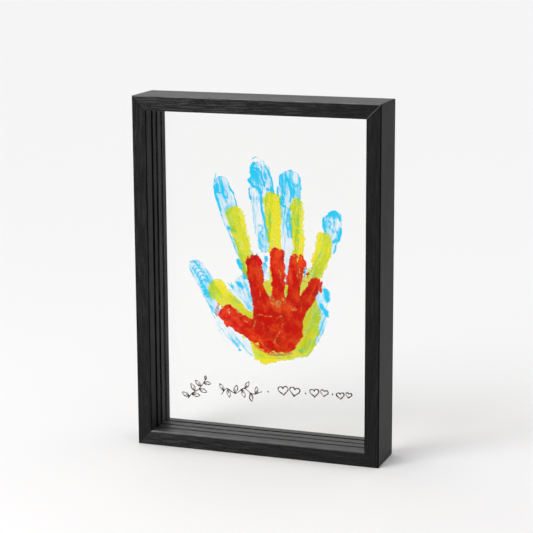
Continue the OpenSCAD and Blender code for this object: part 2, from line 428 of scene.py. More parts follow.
def black_wood(name, axis, stain, flecks, smoothest, gloss, dusted, is_sill=False):
    """Black stained open-grained wood with its grain along the axis.

    stain holds its darkest and lightest colour, flecks is how much its pores show, painted lighter
    as the highlights they catch, at the left and at the right, smoothest is its least roughness,
    and dusted is how much dust lies on what faces up.
    """
    material, n = new_material(name)
    at = n.separate(n.place())
    low, high = cad_box

    def grain(size, detail, roughness=0.5, offset=(0, 0, 0)):
        along, across = size
        sizes = tuple(along if letter == axis else across for letter in "XYZ")
        return n.noise(sizes, detail, roughness, offset)

    lines = n.spread(grain(PORE_LINES, 1, 0.6, (6, 1, 9)), 0.5, 0.64, 0, 0.8)
    specks = n.spread(grain(PORE_SPECKS, 1, 0.6), 0.52, 0.66, 0, 0.8)
    pore = n.plus(lines, specks, clamp=True)
    streaks = grain(STAIN_STREAKS, 3, offset=(3, 5, 7))
    bands = grain(STAIN_BANDS, 2, offset=(11, 2, 4))
    fibre = grain(FIBRES, 2, offset=(1, 8, 2))
    tone = n.plus(n.times(streaks, 0.6), n.times(bands, 0.4))
    colour = n.mix_colour(n.spread(tone, 0.35, 0.65), *stain)
    # The pores are painted lighter as the highlights they catch, and fewer show towards the right,
    # as a painted falloff of the light from the left
    shown = n.spread(at["X"], low.x, high.x, *flecks)
    colour = n.mix_colour(n.times(pore, shown), colour, PORE_HIGHLIGHT)

    near_front = n.near(at["Y"], low.y, ARRIS_REACH)
    edge_highlight = painted_edge_highlights(n, at, near_front, is_sill)
    # Painted highlights along the arrises, broken up by the fibres
    colour = n.mix_colour(n.times(edge_highlight, n.spread(fibre, 0.4, 0.6, 0.3, 1.0)), colour, PAINTED_EDGE_HIGHLIGHT)
    # A painted highlight along the top right mitre
    mitre_highlight = mitre_highlight_mask(n, at, near_front)
    colour = n.mix_colour(n.times(mitre_highlight, MITRE_SHOWS), colour, MITRE_LIGHT)

    arris = arris_shade(n, at, near_front, axis == "Z")
    groove, groove_highlight = groove_bands(n, at, is_sill)
    shade_mask = n.greater(arris, groove)
    # Painted shade: dark lines along the arrises and bands over the grooves
    colour = n.mix_colour(n.times(shade_mask, PAINTED_SHADE_SHOWS), colour, PAINTED_SHADE)

    # Dust lies on what faces up. Its pale colour is also painted as a highlight in two of the lower
    # side's grooves, and as bounce light low on the outer sides, lighter towards the foot
    up = n.separate(n.geometry("True Normal"))["Z"]
    dust_and_painted_light = n.times(n.spread(up, 0.6, 0.9, 0.0, dusted), n.spread(fibre, 0.3, 0.7, 0.8, 1.2))
    dust_and_painted_light = n.plus(dust_and_painted_light, n.times(groove_highlight, GROOVE_HIGHLIGHT))
    # Painted bounce light from the floor on the outer sides, lighter towards the foot
    outside = n.near(n.size(at["X"]), high.x, OUTER_FACE_REACH)
    bounce_light = n.spread(at["Z"], 0, SIDE_BOUNCE_HEIGHT * high.z, SIDE_BOUNCE_LIGHT, 0)
    dust_and_painted_light = n.plus(dust_and_painted_light, n.times(outside, bounce_light))
    colour = n.mix_colour(n.times(dust_and_painted_light, n.minus(1.0, shade_mask)), colour, DUST_AND_PAINTED_LIGHT)

    roughness = n.plus(n.spread(tone, 0.3, 0.7, smoothest, smoothest + 0.1), n.times(fibre, 0.08))
    roughness = n.plus(roughness, n.times(shade_mask, 0.5), clamp=True)
    height = n.minus(n.times(fibre, 0.35), pore)
    n.surface(n.shader("Principled", {
        "Base Color": colour, "Roughness": roughness, "Specular IOR Level": gloss,
        "Normal": n.bump(height, 0.5, PORE_DEPTH),
    }))
    return material


def clear_sheet():
    """Clear acrylic with frosted cut edges.

    Both faces' gloss is laid on the face that a ray meets first.
    """
    material, n = new_material("clear_acrylic")
    clear = n.shader("Transparent", {"Color": SHEET_TINT})
    inside = n.shader("Transparent", {"Color": WHITE})
    roughness = n.spread(n.noise(SMUDGE_SIZE, 4, 0.6), 0.4, 0.75, 0.02, 0.07)
    gloss = n.shader("Glossy", {"Color": WHITE, "Roughness": roughness})
    fresnel = n.add("ShaderNodeFresnel", {"IOR": ACRYLIC_IOR}).outputs[0]
    face = n.mix_shader(n.times(fresnel, SHEET_GLOSS), clear, gloss)
    face = n.mix_shader(n.geometry("Backfacing"), face, inside)
    frost = n.mix_colour(n.noise(FROST_SIZE, 3), rgb(96, 112, 114), rgb(150, 164, 166))
    cut = n.shader("Principled", {"Base Color": frost, "Roughness": 0.35, "Alpha": 0.35})
    facing = n.size(n.separate(n.geometry("True Normal"))["Y"])
    sheet = n.mix_shader(n.math("LESS_THAN", facing, 0.5), face, cut)
    casts = n.add("ShaderNodeLightPath").outputs["Is Shadow Ray"]
    n.surface(n.mix_shader(casts, sheet, inside))
    return material


def paint(name, light, dark, body, back_share):
    """A dried film of paint, seen mostly by the light that passes it, as on a window.

    The mesh gives coat, the thickness of the paint, 1 for a full coat, and tone, from 0 for the
    dark kind of the paint to 1 for the light kind. light and dark are the shares of red, green
    and blue light that a full coat of each lets through. body holds the shares of light that a
    full coat of the dark and of the light kind scatters, and back_share is how much of that
    comes from behind.
    """
    material, n = new_material(name)
    grain = n.noise(PAINT_GRAIN, 3, 0.6)
    coat = n.times(n.attribute("coat"), n.spread(grain, 0.3, 0.7, 0.7, 1.3))
    kind = n.plus(n.attribute("tone"), n.spread(grain, 0.3, 0.7, -0.15, 0.15), clamp=True)
    hidden = n.minus(1.0, n.math("POWER", LIGHT_PAST_FULL_COAT, coat))
    channels = {}
    for channel, shares in enumerate(zip(dark, light)):
        channels[channel] = n.spread(hidden, 0.0, 1.0, 1.0, n.spread(kind, 0.0, 1.0, *shares))
    colour = n.add("ShaderNodeCombineColor", channels).outputs[0]
    bump = n.bump(grain, 0.5, PAINT_RELIEF)
    face = n.shader("Principled", {
        "Base Color": colour, "Roughness": 0.42, "Specular IOR Level": 0.3, "Normal": bump,
    })
    through = n.shader("Translucent", {"Color": colour, "Normal": bump})
    scattered = n.mix_shader(back_share, face, through)
    stain = n.shader("Transparent", {"Color": colour})
    share = n.times(n.spread(coat, 0.0, 0.5), n.spread(kind, 0.0, 1.0, *body))
    film = n.mix_shader(share, stain, scattered)
    clear = n.shader("Transparent", {"Color": WHITE})
    n.surface(n.mix_shader(n.geometry("Backfacing"), film, clear))
    return material


def plain_metal(name, low, high, roughness, scratch_size):
    """Metal with fine scratches, and with spots from the low to the high colour."""
    material, n = new_material(name)
    scratches = n.noise(scratch_size, 3, 0.6)
    spots = n.noise(METAL_SPOT, 4, offset=(4, 4, 4))
    n.surface(n.shader("Principled", {
        "Base Color": n.mix_colour(n.spread(spots, 0.35, 0.7), low, high),
        "Metallic": 1.0,
        "Roughness": n.spread(scratches, 0.3, 0.7, roughness - 0.08, roughness + 0.12),
        "Normal": n.bump(scratches, 0.2, METAL_RELIEF),
    }))
    return material


def value_noise(u, v, seed):
    """Smooth noise from 0 to 1 with features about one unit wide in u and v."""
    lattice = np.random.default_rng(seed).random((LATTICE, LATTICE))
    i = np.floor(u).astype(int)
    j = np.floor(v).astype(int)
    fu = u - i
    fv = v - j
    fu = fu * fu * (3 - 2 * fu)
    fv = fv * fv * (3 - 2 * fv)
    i %= LATTICE
    j %= LATTICE
    i1 = (i + 1) % LATTICE
    j1 = (j + 1) % LATTICE
    low = lattice[i, j] * (1 - fu) + lattice[i1, j] * fu
    high = lattice[i, j1] * (1 - fu) + lattice[i1, j1] * fu
    return low * (1 - fv) + high * fv


def fractal(u, v, seed, octaves=3):
    """Layers of value noise, each half as large and half as strong, from -0.5 to 0.5."""
    total = np.zeros_like(u)
    weight = 0.0
    right, up = LAYER_SHIFT
    for k in range(octaves):
        total += value_noise(u * 2**k + right * k, v * 2**k + up * k, seed + k) / 2**k
        weight += 1 / 2**k
    return total / weight - 0.5


def smooth_step(low, high, value):
    t = np.clip((value - low) / (high - low), 0, 1)
    return t * t * (3 - 2 * t)


def segment(px, pz, a, b):
    """Distance from the line a-b, the share along it, and the signed distance to its side."""
    dx, dz = b[0] - a[0], b[1] - a[1]
    length = math.hypot(dx, dz)
    t = np.clip(((px - a[0]) * dx + (pz - a[1]) * dz) / length**2, 0, 1)
    distance = np.hypot(px - a[0] - t * dx, pz - a[1] - t * dz)
    side = ((px - a[0]) * dz - (pz - a[1]) * dx) / length
    return distance, t, side


def smooth_path(points):
    """A smooth line through the points, as a list of points."""
    if len(points) == 1:
        return [points[0], (points[0][0] + STEP_ASIDE, points[0][1])]
    path = []
    ends = [points[0], *points, points[-1]]
    for around in zip(ends, ends[1:], ends[2:], ends[3:]):
        for k in range(PATH_STEPS):
            t = k / PATH_STEPS
            path.append([
                (2 * b + (c - a) * t + (2 * a - 5 * b + 4 * c - d) * t**2
                 + (3 * b - a - 3 * c + d) * t**3) / 2
                for a, b, c, d in zip(*around)
            ])
    return [*path, points[-1]]


class Hand:
    """A hand's shape on a grid of points, in mm.

    inside is how far a point is inside the outline, along and across are its place on a finger, and
    finger_share goes from 0 on the palm to 1 on a finger.
    """

    def __init__(self, spec, step):
        self.heel = spec["heel"]
        self.hundredth = spec["length"] / 100
        *self.rows, palm = [
            [[number * self.hundredth for number in point] for point in row]
            for row in (*spec["rows"], spec["palm"])
        ]
        every = [p for row in [*self.rows, palm] for p in row]
        xs, zs = (
            np.arange(
                min(p[axis] - p[2] for p in every) - HAND_MARGIN,
                max(p[axis] + p[2] for p in every) + HAND_MARGIN,
                step,
            )
            for axis in (0, 1)
        )
        self.x, self.z = np.meshgrid(xs, zs, indexing="ij")
        self.inside = np.full(self.x.shape, -FAR)
        self.along = self.z.copy()
        self.across = self.x.copy()
        best = np.full(self.x.shape, FAR)
        for number, row in enumerate(self.rows):
            finger = np.full(self.x.shape, -FAR)
            start = 0.0
            for a, b in zip(row, row[1:]):
                distance, t, side = segment(self.x, self.z, a, b)
                depth = a[2] + t * (b[2] - a[2]) - distance
                span = math.hypot(b[0] - a[0], b[1] - a[1])
                nearer = distance < best
                along = -(start + t * span) + NEXT_ALONG * number
                self.along = np.where(nearer, along, self.along)
                self.across = np.where(nearer, side + NEXT_ACROSS * number, self.across)
                best = np.minimum(best, distance)
                finger = np.maximum(finger, depth)
                start += span
            self.inside = self.join(self.inside, finger)
        palm_depth = self.palm_depth(palm)
        self.finger_share = smooth_step(-4.0, 6.0, self.inside - palm_depth)
        self.inside = self.join(self.inside, palm_depth)

    @staticmethod
    def join(a, b):
        """The deeper of the two, blended where they are alike, which rounds the fingers' webs."""
        h = np.clip(0.5 + 0.5 * (a - b) / WEB_BLEND, 0, 1)
        return b * (1 - h) + a * h + WEB_BLEND * h * (1 - h)

    def palm_depth(self, palm):
        nearest = np.full(self.x.shape, FAR)
        radius = np.zeros(self.x.shape)
        sides = []
        for a, b in zip(palm, palm[1:] + palm[:1]):
            distance, t, side = segment(self.x, self.z, a, b)
            radius = np.where(distance < nearest, a[2] + t * (b[2] - a[2]), radius)
            nearest = np.minimum(nearest, distance)
            sides.append(side)
        within = np.all(np.array(sides) > 0, axis=0)
        return np.where(within, nearest + radius, radius - nearest)

    def spot(self, finger, along, across):
        """A point of a finger or of the palm, in mm.

        along runs from a finger's tip, 0, to its root, 100, and across from its left edge, -100, to
        its right edge, 100. On the palm they are x and z in hundredths of the hand's length.
        """
        if finger == "palm":
            return along * self.hundredth, across * self.hundredth
        row = self.rows[FINGERS.index(finger)]
        spans = [math.hypot(b[0] - a[0], b[1] - a[1]) for a, b in zip(row, row[1:])]
        left = along / 100 * sum(spans)
        for a, b, span in zip(row, row[1:], spans):
            if left <= span or b is row[-1]:
                break
            left -= span
        t = left / span
        dx, dz = (b[0] - a[0]) / span, (b[1] - a[1]) / span
        radius = a[2] + min(max(t, 0), 1) * (b[2] - a[2])
        reach = across / 100 * radius
        return a[0] + left * dx - reach * dz, a[1] + left * dz + reach * dx

    def noise(self, size, seed):
        """Noise from -0.5 to 0.5 with features of a size in mm."""
        return fractal(self.x / size, self.z / size, seed)

    def ragged(self, seed, coarse, fine):
        """How far out the edge runs, in mm. coarse and fine each hold a size and a swing in mm."""
        wide = self.noise(coarse[0], seed) * coarse[1]
        return wide + self.noise(fine[0], seed + 7) * fine[1]

    def curls(self, size, seed, width=0.05):
        """Thin curled lines: 1 on a line, 0 beside it."""
        return 1 - smooth_step(0.0, width, np.abs(self.noise(size, seed)))

    def streaks(self, seed, length, width, bend):
        """Noise drawn out along the fingers, bent a little from side to side."""
        sway = fractal(self.x / SWAY_SIZE, self.z / SWAY_SIZE, seed + 5, 2) * bend
        return fractal((self.along + ALONG_START) / length, (self.across + sway) / width, seed)

    def brushed(self, marks, seed, wander=1.0):
        """Paint laid by a table's strokes, as strong as each stroke is along its middle."""
        total = np.zeros(self.x.shape)
        x = self.x + self.noise(WANDER_SIZE, seed) * 2 * wander
        z = self.z + self.noise(WANDER_SIZE, seed + 50) * 2 * wander
        # A stroke is laid more and less strongly along its way, and gets narrower at its ends
        broken = 1 + 0.8 * self.noise(BREAK_SIZE, seed + 90)
        for finger, strokes in marks.items():
            for width, strength, *places in strokes:
                points = zip(places[::2], places[1::2])
                path = smooth_path([self.spot(finger, *point) for point in points])
                nearest = np.full(self.x.shape, FAR)
                for k, (a, b) in enumerate(zip(path, path[1:])):
                    taper = 0.6 + 0.4 * math.sin(math.pi * (k + 0.5) / (len(path) - 1))
                    nearest = np.minimum(nearest, segment(x, z, a, b)[0] / taper)
                laid = strength * np.exp(-((nearest / (STROKE_SPREAD * width)) ** 2)) * broken
                total = np.maximum(total, laid)
        return total

    def covered(self, marks, seed, wander=1.0):
        """The share that strokes cover, from 0 to 1."""
        return np.clip(self.brushed(marks, seed, wander), 0, 1)


# Polygons of a grid cell by which of its corners are in, a bit each: 0 to 3 are its corners, and
# 4 to 7 the crossings on its low, right, high and left sides
CELL_POLYGONS = {
    1: [(0, 4, 7)], 2: [(4, 1, 5)], 3: [(0, 1, 5, 7)], 4: [(5, 2, 6)], 5: [(0, 4, 7), (5, 2, 6)],
    6: [(4, 1, 2, 6)], 7: [(0, 1, 2, 6, 7)], 8: [(7, 6, 3)], 9: [(0, 4, 6, 3)],
    10: [(4, 1, 5), (7, 6, 3)], 11: [(0, 1, 5, 6, 3)], 12: [(7, 5, 2, 3)], 13: [(0, 4, 5, 2, 3)],
    14: [(4, 1, 2, 3, 7)], 15: [(0, 1, 2, 3)],
}
# Crossings keep this share of a cell's side away from its corners
CROSSING_MARGIN = 0.06


def contour(level, values):
    """Polygons of the grid's part where level is over 0, and the values at their points."""
    nx, nz = level.shape

    def crossing(a, b, va, vb):
        t = np.clip(a / np.where(a == b, 1, a - b), CROSSING_MARGIN, 1 - CROSSING_MARGIN)
        return va + (vb - va) * t

    points = []
    for v in values:
        across = crossing(level[:-1], level[1:], v[:-1], v[1:])
        up = crossing(level[:, :-1], level[:, 1:], v[:, :-1], v[:, 1:])
        points.append(np.concatenate([v.ravel(), across.ravel(), up.ravel()]))
    i, j = np.meshgrid(np.arange(nx - 1), np.arange(nz - 1), indexing="ij")
    corner = i * nz + j
    on_low = nx * nz + corner
    on_left = nx * nz + (nx - 1) * nz + i * (nz - 1) + j
    # Numbers of each cell's corners and crossings, in the order of CELL_POLYGONS
    places = [
        corner, corner + nz, corner + nz + 1, corner + 1,
        on_low, on_left + nz - 1, on_low + 1, on_left,
    ]
    solid = level > 0
    case = solid[:-1, :-1] + 2 * solid[1:, :-1] + 4 * solid[1:, 1:] + 8 * solid[:-1, 1:]
    polygons = []
    for bits, shapes in CELL_POLYGONS.items():
        chosen = case == bits
        for shape in shapes:
            polygons.append(np.stack([places[k][chosen] for k in shape], axis=1))
    used = np.unique(np.concatenate([p.ravel() for p in polygons]))
    renumber = np.zeros(len(points[0]), int)
    renumber[used] = np.arange(len(used))
    return [renumber[p] for p in polygons], [p[used] for p in points]


def film_of_paint(name, node, body, material, hand, level, coat, tone):
    """A closed film on the front face of the sheet that carries the node it replaces."""
    polygons, (x, z, coat, tone) = contour(level, [hand.x, hand.z, coat, tone])
    count = len(x)
    sheet_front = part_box(node)[1].y
    sheet_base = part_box("front_panel")[0].z
    places = np.zeros((2 * count, 3))
    places[:, 0] = HAND_OFFSET + np.tile(x, 2) * MM
    places[:, 1] = sheet_front - FILM_BACK_GAP
    places[:count, 1] -= (THIN_FILM + COAT_THICKNESS * coat) * MM
    places[:, 2] = sheet_base + (hand.heel + np.tile(z, 2)) * MM
    # A side that no other polygon shares, the other way round, is on the rim and gets a wall
    ends = np.concatenate([p.ravel() for p in polygons])
    starts = np.concatenate([np.roll(p, -1, axis=1).ravel() for p in polygons])
    forward = ends.astype(np.int64) * count + starts
    rim = ~np.isin(forward, starts.astype(np.int64) * count + ends)
    a, b = ends[rim], starts[rim]
    walls = np.stack([b, a, a + count, b + count], axis=1)
    faces = []
    for p in polygons:
        faces += p.tolist()
        faces += (p[:, ::-1] + count).tolist()
    faces += walls.tolist()
    piece = add_mesh(name, places.tolist(), faces, material)
    mesh = piece.data
    for label, data in (("coat", coat), ("tone", tone)):
        attribute = mesh.attributes.new(label, "FLOAT", "POINT")
        attribute.data.foreach_set("value", np.tile(data, 2).astype(np.float32))
    mesh.polygons.foreach_set("use_smooth", np.ones(len(mesh.polygons), bool))
    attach(piece, body)
    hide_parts(node)


def with_strokes(level, strokes, low=0.2):
    """Widens a film's outline to take in strokes that run past it and are stronger than low."""
    return np.maximum(level, (strokes - low) * STROKE_LEVEL)


# Tables of strokes, listed by finger. Each stroke has its half width in mm and its strength,
# and then its points, along and across, in hundredths as Hand.spot takes them
BLUE_STROKES = {
    "index": [
        (0.8, 0.8, 0, -105, 10, -110, 20, -100, 28, -90), (1.5, 0.85, 0, -60, 8, -75),
        (0.7, 0.6, 9, -70, 10, -30), (0.9, 0.7, -3, 20, 6, 10, 12, -5, 18, 10, 22, 10),
        (0.6, 0.5, 4, 20, 8, 45, 14, 50, 17, 20), (0.5, 0.4, 10, 40, 13, 90),
        (0.6, 0.8, 5, 110, 12, 130, 20, 130, 28, 120, 35, 130), (0.7, 0.5, 15, 90, 21, 80),
        (1.4, 0.5, 28, -10, 24, 10), (0.6, 0.4, -12, -40, -4, -95), (2, 0.65, 46, -80, 53, -35),
        (1.2, 0.5, 58, -70, 62, -60), (1.3, 0.3, 30, -95, 45, -100, 60, -90),
    ],
    "middle": [
        (1.1, 1, 0, -95, -8, -80, -13, -50),
        (1.1, 0.85, -6, -50, -4, -15, 0, 10, 7, 20, 14, 30, 19, 30),
        (0.9, 0.75, 2, -90, -2, -50, -4, -20),
        (1, 0.9, 7, -100, 10, -125, 15, -95, 19, -75, 20, -35), (3.6, 0.5, 0, -40, 14, -40),
        (0.7, 0.6, 5, -30, 10, -55, 15, -30), (0.8, 0.45, -12, -10, -5, 30, 10, 50),
        (0.6, 0.75, -8, 60, 2, 85, 10, 110, 18, 110, 28, 110), (0.6, 0.4, 3, 60, 19, 75),
        (0.6, 0.85, 20, -120, 30, -120, 37, -115),
        (0.5, 0.35, 37, -110, 50, -100, 70, -100, 90, -90), (2, 0.8, 21, -35, 28, -10),
        (2, 0.6, 22, 30, 24, 90), (1, 0.85, 30, -10, 40, -10, 50, -5, 60, 15, 74, 45, 93, 85),
        (0.7, 0.35, 40, -60, 52, -50, 60, -70),
        (0.7, 0.65, 72, -50, 71, -10, 77, 0, 81, -40, 87, -10), (1.2, 0.6, 80, -20),
        (0.7, 0.35, 90, -80, 99, -20, 100, 30), (0.3, 0.5, -17, -70, -21, -40, -19, 0),
        (0.3, 0.5, -16, 20, -13, 60),
    ],
    "ring": [
        (1.1, 0.75, -9, -50, -3, -30, 3, -10, 8, 5, 15, 10, 22, 5), (2.2, 0.55, -6, -85, 0, -80),
        (1.6, 0.5, 2, -90, 10, -70, 16, -60), (1.6, 0.55, 2, 25, 5, 50, 4, 75),
        (1.6, 0.55, 7, 30, 12, 40, 18, 30), (0.6, 0.5, -9, 70, 0, 95, 8, 100),
        (0.6, 0.3, -12, -30, -13, 20), (0.7, 0.85, 7, -120, 13, -120, 17, -110),
        (0.8, 1, 18, -95, 18, -70, 23, -65, 25, -85, 22, -100, 18, -95), (1.8, 0.75, 20, -80),
        (0.9, 0.6, 27, -70, 30, -30), (1.1, 0.65, 34, -35, 42, -40, 48, -45, 56, -30, 63, -20),
        (1.1, 0.7, 36, -10, 44, 10, 52, 5, 62, 20), (1.6, 0.4, 30, 0, 34, -60),
        (1.8, 0.3, 63, -40, 76, -30, 90, -30),
    ],
    "little": [
        (1, 0.9, -2, -100, -9, -60, -11, 0, -7, 45, -1, 80),
        (1.2, 0.85, 0, -115, 10, -120, 18, -105, 23, -85), (2.6, 0.6, -5, -50, -4, 10),
        (0.8, 0.6, 3, -70, 8, -20, 13, -50, 17, 0, 20, 30), (1.2, 0.45, 5, 10, 13, 30, 20, 60),
        (1.3, 0.95, 12, 95, 20, 95, 27, 95, 30, 60), (1.2, 0.8, 34, 35, 33, 70),
        (1.4, 0.35, 37, 85, 44, 95, 50, 95),
    ],
    "thumb": [
        (1.2, 0.6, -12, -30, -8, 30), (0.6, 0.4, -8, -80, 0, -100, 10, -90),
        (0.5, 0.6, 0, -70, -4, 0, 2, 40), (0.5, 0.65, 7, -70, 2, -10, 8, 40),
        (0.5, 0.6, 14, -70, 8, 0, 15, 50), (0.5, 0.6, 21, -70, 15, 0, 22, 50),
        (0.6, 0.55, 28, -80, 22, -10, 28, 30), (0.6, 0.7, 31, -90, 33, -20),
        (0.6, 0.75, 37, -90, 39, -30), (0.7, 0.75, 43, -90, 44, -10), (0.7, 0.75, 48, -80, 51, -20),
        (1, 0.5, 25, -90, 45, -70, 52, -50), (0.7, 0.5, 60, -100, 68, -90),
        (0.7, 0.55, 72, -90, 82, -90), (0.8, 0.6, 70, -30, 76, -30),
        (0.5, 0.35, 85, -110, 95, -110),
    ],
    "palm": [
        (1.6, 1.2, -22.5, 49, -20.5, 46, -19, 44, -18.5, 40), (1.7, 1.1, -22, 37, -20, 35),
        (0.6, 0.7, -28, 37, -25, 34), (0.5, 0.5, -26, 37, -25, 33), (7, 0.3, -21, 32, -15, 28),
        (2, 0.35, -27, 33, -20, 33), (1.7, 0.75, -7, 51, -7, 50), (2.4, 0.45, -8, 48, -8, 43),
        (0.5, 0.7, -12, 53, -13, 51), (0.8, 0.7, 13, 47, 14, 44),
        (2.4, 0.9, 24, 37, 25.2, 34.5, 25.5, 31), (1.2, 0.85, 26, 35, 26.2, 31),
        (1.9, 1, 22, 29, 24, 26, 25.6, 23.5), (2, 0.25, 25, 21, 23, 15, 21, 10),
        (0.6, 0.4, -37, 21, -33, 14, -28, 8, -22, 3), (0.5, 0.35, -33, 20, -30, 13, -24, 6),
        (0.4, 0.3, -35, 15, -31, 8, -26, 3), (3.4, 0.42, -27, 11, -23, 5), (0.9, 0.95, -21.5, 2),
        (6, 0.3, 19, 34, 22, 24, 20, 12, 12, 4),
    ],
}
# Where the blue paint ran thin
BLUE_BARE = {
    "middle": [(2.6, 0.6, 38, -60, 60, -40, 66, -20), (2.2, 0.8, 24, -80, 32, -60)],
    "ring": [(4, 0.7, 66, 0, 90, 0), (2, 0.5, -4, 30, -6, 70)],
    "little": [(2, 0.6, 2, 50, 12, 75)],
    "index": [(2, 0.7, 24, 50, 20, 50), (2.4, 0.4, 35, -60, 45, -70)],
    "thumb": [(6, 0.9, 60, 40, 90, 20)],
    "palm": [(7, 0.95, -34, 19, -28, 14, -20, 12, -10, 5)],
}
# Where the palm's outline stops short
BLUE_CUT = {
    "little": [(3, 1, 52, 130, 70, 120, 100, 120)],
    "palm": [(2.5, 0.8, 26, 40, 26.5, 36), (3, 0.9, 27, 22, 26, 12, 20, 2)],
}
YELLOW_STROKES = {
    "index": [
        (2.2, 1, -12, -40, -8, 20, 0, 0), (1.6, 0.8, 2, -90), (2.6, 1, 30, -30, 42, 10, 50, 0),
        (1.6, 0.8, 60, 20, 72, 10),
    ],
    "middle": [
        (3, 0.8, -5, 30, 20, 60, 50, 70), (2, 0.8, 30, -100, 40, -50, 55, 0),
        (2, 0.6, 0, -50, 15, -70),
    ],
    "ring": [(1.6, 0.8, 0, 30, 8, 20), (3, 0.9, 45, 40, 60, -20, 80, 0)],
    "little": [(3, 0.9, 0, 20, 30, 30, 70, 20), (1.4, 0.7, 10, -60, 40, -50)],
    "thumb": [(4.4, 1, -10, 50, 10, 50, 30, 50), (1.8, 0.8, 60, 30, 85, 40)],
    "palm": [
        (4, 1, -13, 17, -11, 10, -6, 4, 2, 1.5, 10, 2), (4, 1, -2, 0, 6, -1),
        (2.6, 0.9, -13, 42, -11, 38), (1.6, 0.8, 17, 23, 16, 15, 14, 10),
    ],
}
YELLOW_BARE = {
    "palm": [(3.6, 0.55, 27, 36, 29, 25, 25, 12, 18, 2), (4, 0.5, 3, 41, 10, 40)],
    "thumb": [(3, 0.35, 35, -50, 60, -40)],
    "middle": [(2.6, 0.75, 62, 100, 80, 60, 90, 10)],
    "ring": [(1.6, 0.7, 0, 110, 30, 110, 50, 110)],
    "index": [(1.6, 0.5, 0, 110, 20, 110, 50, 110)],
    "little": [(2, 0.4, 50, -100, 80, -80), (3, 0.3, 75, 30, 95, 0)],
}
YELLOW_CUT = {
    "palm": [
        (6.5, 1, -17, 44, -15, 38, -14, 33), (1.6, 0.8, 9, -3, 10, 0), (2.6, 0.5, -17, 14, -16, 6),
    ],
    "middle": [(1.4, 0.3, 50, 130, 70, 120, 95, 120)],
}
RED_LIGHT = {
    "middle": [(3.4, 0.8, -10, 20, 5, 0, 15, -30), (0.8, 0.6, 40, 40, 50, 30)],
    "ring": [(2.4, 1, -10, 50, 10, 10, 25, 50), (1, 0.7, 35, -80, 45, -50)],
    "little": [(1.6, 0.4, 0, 30, 40, 40)],
    "thumb": [(2.4, 0.5, -10, -70, -2, 20), (1.2, 0.7, 20, 90, 40, 80)],
    "palm": [
        (2.6, 1, -2, 47, 3, 42, 8, 40), (2, 0.7, 9, 44, 16, 42, 19, 45),
        (1.4, 0.85, 3, 36, 7, 33, 10, 35), (1, 0.7, -10, 30, -8, 24, -10, 18),
        (0.8, 0.6, 2, 10, 4, 14, 8, 20), (0.7, 0.8, 3, 5, 2, 10), (1.4, 0.6, -6, 2, 2, -1, 14, 1),
    ],
}
RED_DARK = {
    "index": [
        (1.6, 0.9, -8, -50, -10, 30, 0, 90, 20, 90), (4, 0.7, 30, 0, 60, 0, 90, 10),
        (1.4, 0.9, 55, -90, 65, -90),
    ],
    "middle": [(1.2, 0.6, 10, -90, 40, -80, 60, -70), (2, 0.6, 55, 30, 75, 20)],
    "ring": [(1.6, 0.9, 25, -20, 40, 30, 60, 10)],
    "little": [(1.6, 0.9, 0, 30, 15, 70, 30, 30), (2.2, 0.6, 35, -20, 50, 0)],
    "thumb": [(1.8, 0.8, 5, -90, 15, -30, 30, -20)],
    "palm": [
        (4, 0.8, -12, 36, -5, 30, 2, 34), (1, 0.9, 10, 35, 20, 34),
        (3.6, 0.8, 0, 12, -4, 4, 6, 3, 12, 6), (3, 0.4, 15, 20, 18, 30),
    ],
}
# Where the red paint is scratched open
RED_SCRATCHED = {
    "palm": [
        (2.8, 1, 0, 51, 6, 47, 12, 50), (1.4, 0.9, 17, 45, 24, 43),
        (0.7, 0.7, -13, 34.5, 0, 33.5, 12, 35), (0.7, 0.8, 3, 12, 5, 6),
        (0.6, 0.8, 4, 10, 6, 17, 11, 21), (0.5, 0.7, 12, 30, 9, 24), (0.5, 0.6, -4, 24, 0, 21),
        (0.6, 0.8, -13, 10, -8, 5, -3, 2), (0.7, 0.8, -15, 30, -18, 20),
    ],
    "ring": [(0.8, 0.8, 15, 70, 35, 75), (0.6, 0.8, 30, 40, 42, 60)],
    "index": [(0.7, 0.7, 70, 30, 85, 10), (0.5, 0.7, 40, 60, 50, 75)],
    "thumb": [(0.7, 0.7, 50, 50, 70, 60), (1.2, 0.9, 0, 50, 6, 10), (0.9, 0.9, 20, 95, 35, 90)],
    "middle": [(0.5, 0.6, 30, 20, 45, 50, 60, 40)],
}
# Where the red print is cut in, has lobes past its outline, and is smeared thinly
RED_CUT = {
    "palm": [(1, 0.6, 15.5, 64, 14, 54)],
    "thumb": [(2.2, 0.7, -30, -120, -26, 80)],
    "ring": [(1.3, 0.5, -18, 10, 0, 5)],
}
RED_LOBES = {
    "thumb": [(2, 0.9, 10, -110, 22, -130)],
    "ring": [(1.4, 0.9, -5, 120, 8, 130), (1.2, 0.7, 25, 120, 40, 115)],
    "little": [(1.2, 0.8, 5, 120, 12, 150)],
    "index": [(1.2, 0.7, -10, 100, 2, 110)],
}
RED_SMEAR = {
    "palm": [
        (1.3, 0.9, -19, 7, -11, 1, 0, -3, 12, -2), (1.3, 0.7, 10, -3, 20, 0),
        (1.6, 0.5, 26, 26, 27, 12),
    ],
    "thumb": [(2.2, 0.6, -20, -100, -30, 20)],
}
# Where the red print is torn and has flecks beside it
RED_TORN = {
    "thumb": [(3, 1, -15, 30, -5, -50)],
    "ring": [(3, 1, -15, -60, -10, 80, 10, 110), (3, 1, 0, 150, 20, 170, 40, 150)],
    "little": [(2.6, 1, -10, 100, 5, 130)],
    "index": [(1.2, 0.8, -15, -80, -10, 30)],
    "middle": [(1.6, 0.7, -15, -100, -10, 80)],
    "palm": [(3, 0.7, -20, 2, -10, 4, 2, 0), (1.4, 0.6, 2, 36, 10, 34)],
}


# Each film's coat and tone add up noises, which run from -0.5 to 0.5, and strokes, curls and rims,
# which are 0 where there are none. The number before each is how much it counts.


